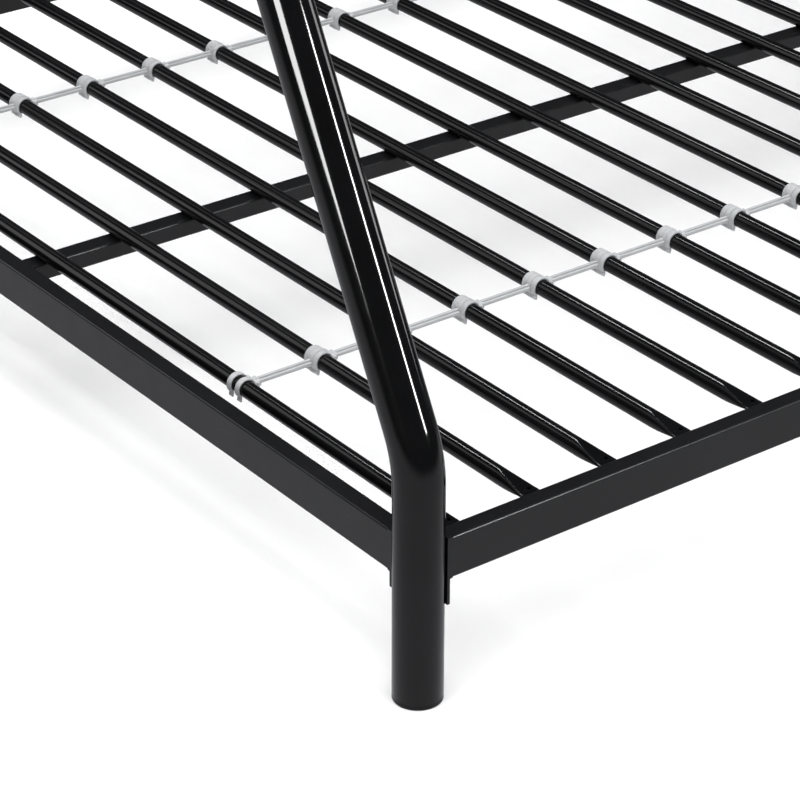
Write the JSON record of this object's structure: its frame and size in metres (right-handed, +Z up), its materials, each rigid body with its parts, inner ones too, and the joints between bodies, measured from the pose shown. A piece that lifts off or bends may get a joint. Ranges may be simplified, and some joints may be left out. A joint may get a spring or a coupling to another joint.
{
  "type": "metal bunk bed frame",
  "caption": "Black metal bed frame with a wide low slat deck on dog-leg tube posts, clipped round slats, and a narrower guarded upper deck with a ladder.",
  "frame": {"origin": "on the floor, in the middle of the bed's footprint", "axes": "+X along the bed towards the ladder's end, +Y across the bed towards the rear, +Z up; the ladder is at the front, -Y"},
  "size_m": [2.0126, 1.4904, 1.6643],
  "materials": {
    "black_powder_coat": "satin to glossy black powder coat on steel tube",
    "clip_plastic": "light grey moulded plastic, satin",
    "black_plastic": "black moulded plastic, matt",
    "zinc_screw": "dark zinc screw heads"
  },
  "bodies": {
    "root": {"front_left_lower_post": "black_powder_coat", "rear_left_lower_post": "black_powder_coat", "front_right_lower_post": "black_powder_coat", "rear_right_lower_post": "black_powder_coat", "front_left_foot_cap": "black_plastic", "rear_left_foot_cap": "black_plastic", "front_right_foot_cap": "black_plastic", "rear_right_foot_cap": "black_plastic", "lower_left_end_rail": "black_powder_coat", "lower_right_end_rail": "black_powder_coat", "lower_front_side_rail": "black_powder_coat", "lower_rear_side_rail": "black_powder_coat", "lower_post_plates": "black_powder_coat", "lower_rail_end_plates": "black_powder_coat", "lower_centre_beam": "black_powder_coat", "lower_beam_brackets": "black_powder_coat", "lower_beam_bolts": "zinc_screw", "lower_front_slat_tongues": "black_powder_coat", "lower_rear_slat_tongues": "black_powder_coat", "lower_slats": "black_powder_coat", "lower_front_link_strip": "clip_plastic", "lower_rear_link_strip": "clip_plastic", "left_upper_hoop": "black_powder_coat", "right_upper_hoop": "black_powder_coat", "post_connectors": "black_powder_coat", "connector_screws": "zinc_screw", "left_head_bars": "black_powder_coat", "right_head_bars": "black_powder_coat", "left_hoop_bars": "black_powder_coat", "right_hoop_bars": "black_powder_coat", "upper_left_end_rail": "black_powder_coat", "upper_right_end_rail": "black_powder_coat", "upper_front_side_rail": "black_powder_coat", "upper_rear_side_rail": "black_powder_coat", "upper_post_plates": "black_powder_coat", "upper_rail_end_plates": "black_powder_coat", "upper_front_slat_tongues": "black_powder_coat", "upper_rear_slat_tongues": "black_powder_coat", "upper_slats": "black_powder_coat", "upper_front_link_strip": "clip_plastic", "upper_rear_link_strip": "clip_plastic", "front_guard_top_rail": "black_powder_coat", "front_guard_bars": "black_powder_coat", "front_guard_uprights": "black_powder_coat", "rear_guard_top_rail": "black_powder_coat", "rear_guard_bars": "black_powder_coat", "rear_guard_uprights": "black_powder_coat", "guard_feet": "black_powder_coat", "guard_bolts": "zinc_screw", "ladder_left_stile": "black_powder_coat", "ladder_right_stile": "black_powder_coat", "ladder_rung_1": "black_powder_coat", "ladder_rung_2": "black_powder_coat", "ladder_rung_3": "black_powder_coat", "ladder_rung_4": "black_powder_coat", "ladder_saddles": "black_powder_coat", "ladder_hooks": "black_powder_coat", "ladder_caps": "black_plastic"}
  },
  "joints": []
}
